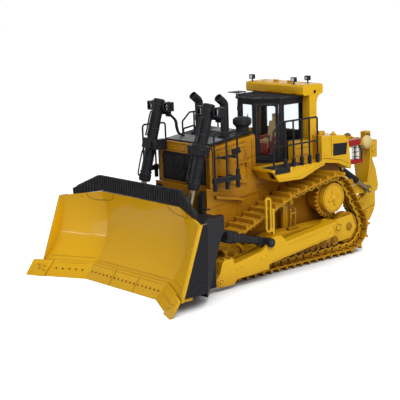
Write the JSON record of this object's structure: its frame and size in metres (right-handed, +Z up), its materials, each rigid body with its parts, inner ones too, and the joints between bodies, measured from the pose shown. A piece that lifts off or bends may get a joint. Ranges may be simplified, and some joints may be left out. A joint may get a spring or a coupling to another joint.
{
  "type": "crawler bulldozer display model",
  "caption": "Small-scale crawler bulldozer with a raised rear drive wheel, U-shaped blade, railed cab deck and a single-shank rear ripper; blade and ripper lift.",
  "frame": {"origin": "middle of the model's footprint, on the floor under the shoes", "axes": "+X forward towards the blade, +Y to the machine's left, +Z up"},
  "size_m": [0.2118, 0.1246, 0.0993],
  "materials": {
    "yellow": "gloss golden yellow enamel",
    "black": "satin charcoal black enamel",
    "steel": "satin worn steel",
    "chain": "satin yellow-brown ochre enamel",
    "chrome": "bright polished",
    "grille": "matt black",
    "glass": "clear",
    "seat": "matt tan",
    "dash": "matt dark grey",
    "red": "gloss dark red enamel",
    "white": "gloss white"
  },
  "bodies": {
    "chassis": {"hull": "yellow", "belly_plate": "yellow", "cross_members": "black", "radiator_guard": "yellow", "radiator_grille": "grille", "hood_core": "yellow", "hood_doors": "yellow", "hood_deck": "black", "exhaust_stacks": "black", "air_precleaners": "black", "grab_rails": "black", "cab_platform": "yellow", "cab_shell": "black", "cab_doors": "black", "cab_glass": "glass", "cab_roof": "black", "operator_seat": "seat", "dash_console": "dash", "rollover_bar": "yellow", "work_lamps": "black", "fenders": "yellow", "fender_rails": "black", "fuel_tank": "yellow", "bottle_brackets": "red", "service_bottles": "white", "lift_trunnion_brackets": "black", "ripper_bracket": "yellow", "final_drives": "yellow", "sprockets": "chain", "idlers": "chain", "track_rollers": "chain", "track_left": "chain", "track_right": "chain", "track_frame_left": "yellow", "track_frame_right": "yellow"},
    "blade": {"blade_moldboard": "yellow", "blade_back": "black", "lift_rod_ears": "black", "cutting_edges": "yellow", "end_bits": "yellow", "rock_guard": "black", "tilt_braces": "black", "push_arms": "yellow", "hose_guides": "yellow"},
    "lift_barrel_l": {"lift_barrel_left": "black"},
    "lift_barrel_r": {"lift_barrel_right": "black"},
    "lift_rod_l": {"lift_rod_left": "chrome"},
    "lift_rod_r": {"lift_rod_right": "chrome"},
    "ripper_link": {"ripper_arm": "yellow"},
    "ripper_tip": {"ripper_tip_cylinders": "yellow"},
    "ripper_tool": {"ripper_carriage": "yellow", "ripper_shank": "yellow"},
    "ripper_barrels": {"ripper_lift_barrels": "black"},
    "ripper_rods": {"ripper_lift_rods": "chrome"}
  },
  "joints": [
    {"name": "blade_lift", "type": "hinge", "parent": "chassis", "child": "blade", "pos_m": [-0.028, 0, 0.0191], "axis": [0, -1, 0], "range_deg": [-5, 14]},
    {"name": "ripper_lift", "type": "hinge", "parent": "chassis", "child": "ripper_link", "pos_m": [-0.0635, 0, 0.0295], "axis": [0, 1, 0], "range_deg": [-6, 22]},
    {"name": "ripper_carriage_level", "type": "hinge", "parent": "ripper_link", "child": "ripper_tool", "pos_m": [-0.089, 0, 0.0275], "axis": [0, 1, 0], "range_deg": [-22.5, 6.5]},
    {"name": "ripper_tip_link", "type": "hinge", "parent": "chassis", "child": "ripper_tip", "pos_m": [-0.0645, 0, 0.0564], "axis": [0, 1, 0], "range_deg": [-6.5, 22.5]},
    {"name": "ripper_cyl_swivel", "type": "hinge", "parent": "chassis", "child": "ripper_barrels", "pos_m": [-0.063, 0, 0.0445], "axis": [0, 1, 0], "range_deg": [-5.03, 17.11]},
    {"name": "ripper_cyl_stroke", "type": "slide", "parent": "ripper_barrels", "child": "ripper_rods", "axis": [0.837, 0, 0.5472], "range_m": [-0.00167, 0.00533]},
    {"name": "lift_swivel_left", "type": "hinge", "parent": "chassis", "child": "lift_barrel_l", "pos_m": [0.04855, 0.0204, 0.06865], "axis": [0, -1, 0], "range_deg": [-2.55, 6.24]},
    {"name": "lift_stroke_left", "type": "slide", "parent": "lift_barrel_l", "child": "lift_rod_l", "axis": [-0.2849, 0, 0.9586], "range_m": [-0.00798, 0.0218]},
    {"name": "lift_swivel_right", "type": "hinge", "parent": "chassis", "child": "lift_barrel_r", "pos_m": [0.04855, -0.0204, 0.06865], "axis": [0, -1, 0], "range_deg": [-2.55, 6.24]},
    {"name": "lift_stroke_right", "type": "slide", "parent": "lift_barrel_r", "child": "lift_rod_r", "axis": [-0.2849, 0, 0.9586], "range_m": [-0.00798, 0.0218]}
  ],
  "couplings": [
    {"joint": "ripper_carriage_level", "follows": "ripper_lift", "ratio": -1},
    {"joint": "ripper_tip_link", "follows": "ripper_lift", "ratio": 1},
    {"joint": "ripper_cyl_swivel", "follows": "ripper_lift", "ratio": 0.755},
    {"joint": "ripper_cyl_stroke", "follows": "ripper_lift", "m_per_rad": 0.0131},
    {"joint": "lift_swivel_left", "follows": "blade_lift", "ratio": 0.41},
    {"joint": "lift_stroke_left", "follows": "blade_lift", "m_per_rad": 0.088},
    {"joint": "lift_swivel_right", "follows": "blade_lift", "ratio": 0.41},
    {"joint": "lift_stroke_right", "follows": "blade_lift", "m_per_rad": 0.088}
  ]
}
